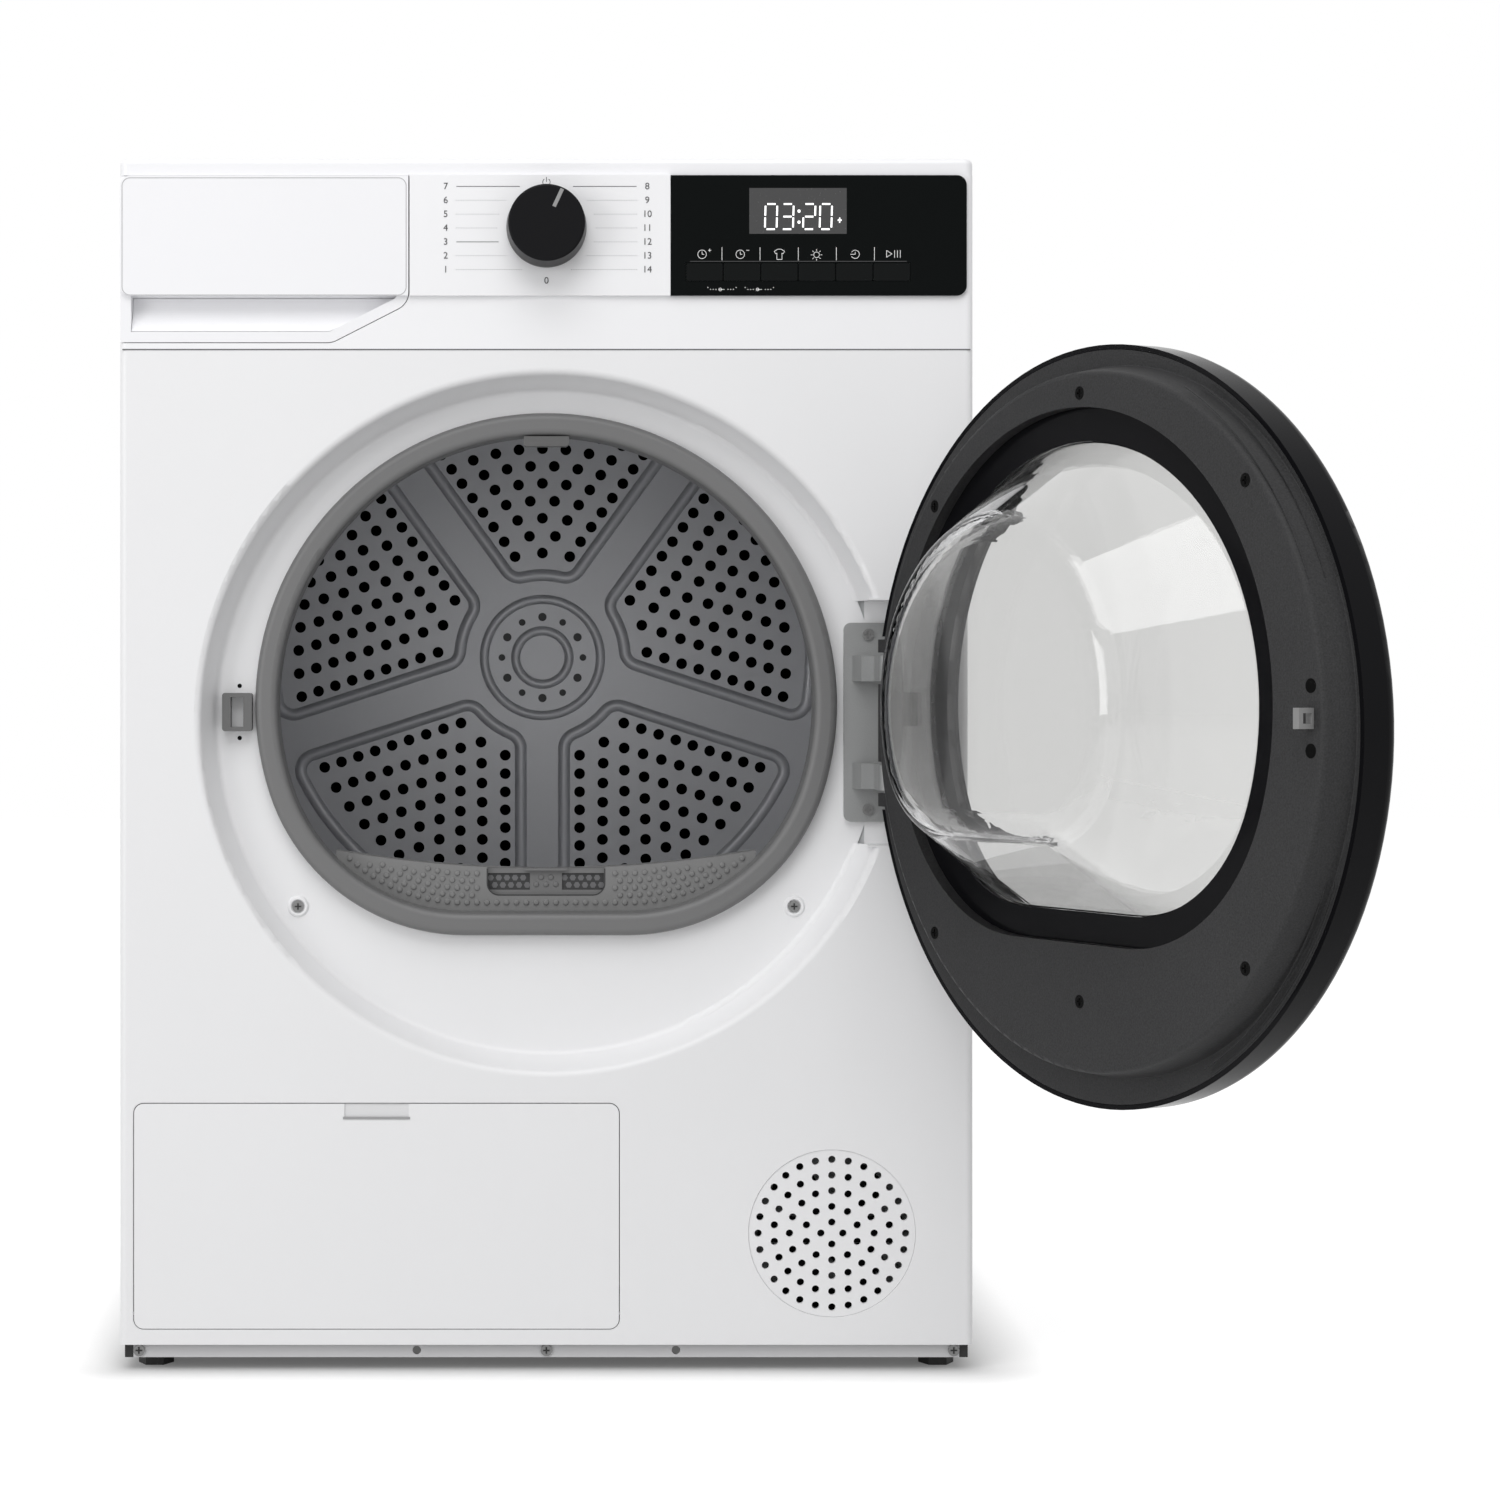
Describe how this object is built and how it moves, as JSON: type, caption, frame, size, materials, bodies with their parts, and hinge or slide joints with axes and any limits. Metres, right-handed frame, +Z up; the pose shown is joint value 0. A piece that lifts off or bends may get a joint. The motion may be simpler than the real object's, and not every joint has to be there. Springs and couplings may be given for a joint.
{
  "type": "clothes dryer",
  "caption": "Free-standing front-loading clothes dryer with a round hinged door and glass bowl, turning drum, dial, display keys, water drawer, lint filter, vent and service flap.",
  "frame": {"origin": "on the floor, under the middle of the cabinet", "axes": "+Z up, -Y out of the front with the door, +X to the right as seen from the front"},
  "size_m": [0.7785, 1.0595, 0.85],
  "materials": {
    "white_paint": "smooth satin paint",
    "white_plastic": "smooth satin",
    "grey_plastic": "fine satin",
    "black_gloss": "polished",
    "black_plastic": "fine grain",
    "foot_rubber": "matt",
    "clear_glass": "clear",
    "drum_steel": "satin stainless",
    "zinc_steel": "zinc plated",
    "light_plastic": "moulded",
    "lamp_plastic": "translucent",
    "board_green": "lacquered",
    "motor_paint": "baked paint",
    "fin_metal": "mill finish",
    "belt_rubber": "matt",
    "brass_bush": "machined"
  },
  "bodies": {
    "cabinet": {"air_duct": "grey_plastic", "base_tray": "light_plastic", "bearing_bush": "brass_bush", "cabinet_screws": "zinc_steel", "compressor": "motor_paint", "control_board": "board_green", "control_fascia": "white_plastic", "cord_gland": "black_plastic", "display_window": "black_gloss", "door_catch": "grey_plastic", "drain_spigot": "black_plastic", "drive_belt": "belt_rubber", "drive_motor": "motor_paint", "drum_lamp": "lamp_plastic", "front_bulkhead": "light_plastic", "front_panel": "white_paint", "heat_exchangers": "fin_metal", "hinge_bracket": "drum_steel", "idler_arm": "zinc_steel", "opening_ring": "grey_plastic", "plinth": "white_plastic", "rear_bulkhead": "black_plastic", "rear_panel": "zinc_steel", "side_panel_left": "white_paint", "side_panel_right": "white_paint", "tank_channel": "light_plastic", "vent_grille": "white_plastic", "worktop": "white_plastic"},
    "door": {"door_outer_ring": "black_gloss", "door_window": "clear_glass", "door_inner_frame": "black_plastic", "door_bowl": "clear_glass", "latch_hook": "grey_plastic", "hinge_pin": "drum_steel", "door_screws": "zinc_steel"},
    "drum": {"drum_shell": "drum_steel", "drum_rear_wall": "drum_steel", "drum_lifters": "light_plastic", "drum_shaft": "zinc_steel"},
    "motor_rotor": {"motor_shaft": "zinc_steel", "process_fan": "black_plastic"},
    "roller_left": {"drum_roller_left": "black_plastic"},
    "roller_right": {"drum_roller_right": "black_plastic"},
    "idler": {"idler_pulley": "black_plastic"},
    "knob": {"program_knob": "black_gloss"},
    "drawer": {"water_drawer_front": "white_plastic", "water_tank": "light_plastic"},
    "flap": {"service_flap": "white_plastic"},
    "filter": {"lint_filter": "grey_plastic"},
    "vent_fan": {"cooling_fan": "black_plastic"},
    "key_1_cap": {"key_1": "black_gloss"},
    "key_2_cap": {"key_2": "black_gloss"},
    "key_3_cap": {"key_3": "black_gloss"},
    "key_4_cap": {"key_4": "black_gloss"},
    "key_5_cap": {"key_5": "black_gloss"},
    "key_6_cap": {"key_6": "black_gloss"},
    "foot_1": {"levelling_foot_1": "foot_rubber"},
    "foot_2": {"levelling_foot_2": "foot_rubber"},
    "foot_3": {"levelling_foot_3": "foot_rubber"},
    "foot_4": {"levelling_foot_4": "foot_rubber"}
  },
  "joints": [
    {"name": "door_hinge", "type": "hinge", "parent": "cabinet", "child": "door", "pos_m": [0.238, -0.312, 0.4547], "axis": [0, 0, 1], "range_deg": [-118.5, 0]},
    {"name": "drum_spin", "type": "hinge", "parent": "cabinet", "child": "drum", "pos_m": [0, 0, 0.505], "axis": [0, 1, 0], "continuous": true},
    {"name": "motor_spin", "type": "hinge", "parent": "cabinet", "child": "motor_rotor", "pos_m": [0.15, 0.15, 0.118], "axis": [0, 1, 0], "continuous": true},
    {"name": "roller_left_spin", "type": "hinge", "parent": "cabinet", "child": "roller_left", "pos_m": [-0.17397, -0.227, 0.25655], "axis": [0, 1, 0], "continuous": true},
    {"name": "roller_right_spin", "type": "hinge", "parent": "cabinet", "child": "roller_right", "pos_m": [0.17397, -0.227, 0.25655], "axis": [0, 1, 0], "continuous": true},
    {"name": "idler_spin", "type": "hinge", "parent": "cabinet", "child": "idler", "pos_m": [0.23026, 0.06, 0.25684], "axis": [0, 1, 0], "continuous": true},
    {"name": "knob_turn", "type": "hinge", "parent": "cabinet", "child": "knob", "pos_m": [0, -0.31, 0.801], "axis": [0, 1, 0], "continuous": true},
    {"name": "drawer_slide", "type": "slide", "parent": "cabinet", "child": "drawer", "axis": [0, -1, 0], "range_m": [0, 0.4]},
    {"name": "flap_fold", "type": "hinge", "parent": "cabinet", "child": "flap", "pos_m": [-0.119, -0.2968, 0.0405], "axis": [1, 0, 0], "range_deg": [0, 90]},
    {"name": "filter_lift", "type": "slide", "parent": "cabinet", "child": "filter", "axis": [0, 0, 1], "range_m": [0, 0.11]},
    {"name": "vent_fan_spin", "type": "hinge", "parent": "cabinet", "child": "vent_fan", "pos_m": [0.2, -0.284, 0.097], "axis": [0, 1, 0], "continuous": true},
    {"name": "key_1_press", "type": "slide", "parent": "cabinet", "child": "key_1_cap", "axis": [0, 1, 0], "range_m": [0, 0.0008], "stiffness_N_per_m": 400},
    {"name": "key_2_press", "type": "slide", "parent": "cabinet", "child": "key_2_cap", "axis": [0, 1, 0], "range_m": [0, 0.0008], "stiffness_N_per_m": 400},
    {"name": "key_3_press", "type": "slide", "parent": "cabinet", "child": "key_3_cap", "axis": [0, 1, 0], "range_m": [0, 0.0008], "stiffness_N_per_m": 400},
    {"name": "key_4_press", "type": "slide", "parent": "cabinet", "child": "key_4_cap", "axis": [0, 1, 0], "range_m": [0, 0.0008], "stiffness_N_per_m": 400},
    {"name": "key_5_press", "type": "slide", "parent": "cabinet", "child": "key_5_cap", "axis": [0, 1, 0], "range_m": [0, 0.0008], "stiffness_N_per_m": 400},
    {"name": "key_6_press", "type": "slide", "parent": "cabinet", "child": "key_6_cap", "axis": [0, 1, 0], "range_m": [0, 0.0008], "stiffness_N_per_m": 400},
    {"name": "foot_1_thread", "type": "hinge", "parent": "cabinet", "child": "foot_1", "pos_m": [-0.277, -0.266, 0.02], "axis": [0, 0, 1], "continuous": true},
    {"name": "foot_2_thread", "type": "hinge", "parent": "cabinet", "child": "foot_2", "pos_m": [-0.277, 0.266, 0.02], "axis": [0, 0, 1], "continuous": true},
    {"name": "foot_3_thread", "type": "hinge", "parent": "cabinet", "child": "foot_3", "pos_m": [0.277, -0.266, 0.02], "axis": [0, 0, 1], "continuous": true},
    {"name": "foot_4_thread", "type": "hinge", "parent": "cabinet", "child": "foot_4", "pos_m": [0.277, 0.266, 0.02], "axis": [0, 0, 1], "continuous": true}
  ],
  "couplings": [
    {"joint": "motor_spin", "follows": "drum_spin", "ratio": 34.75},
    {"joint": "roller_left_spin", "follows": "drum_spin", "ratio": -11.12},
    {"joint": "roller_right_spin", "follows": "drum_spin", "ratio": -11.12},
    {"joint": "idler_spin", "follows": "drum_spin", "ratio": -15.444}
  ]
}
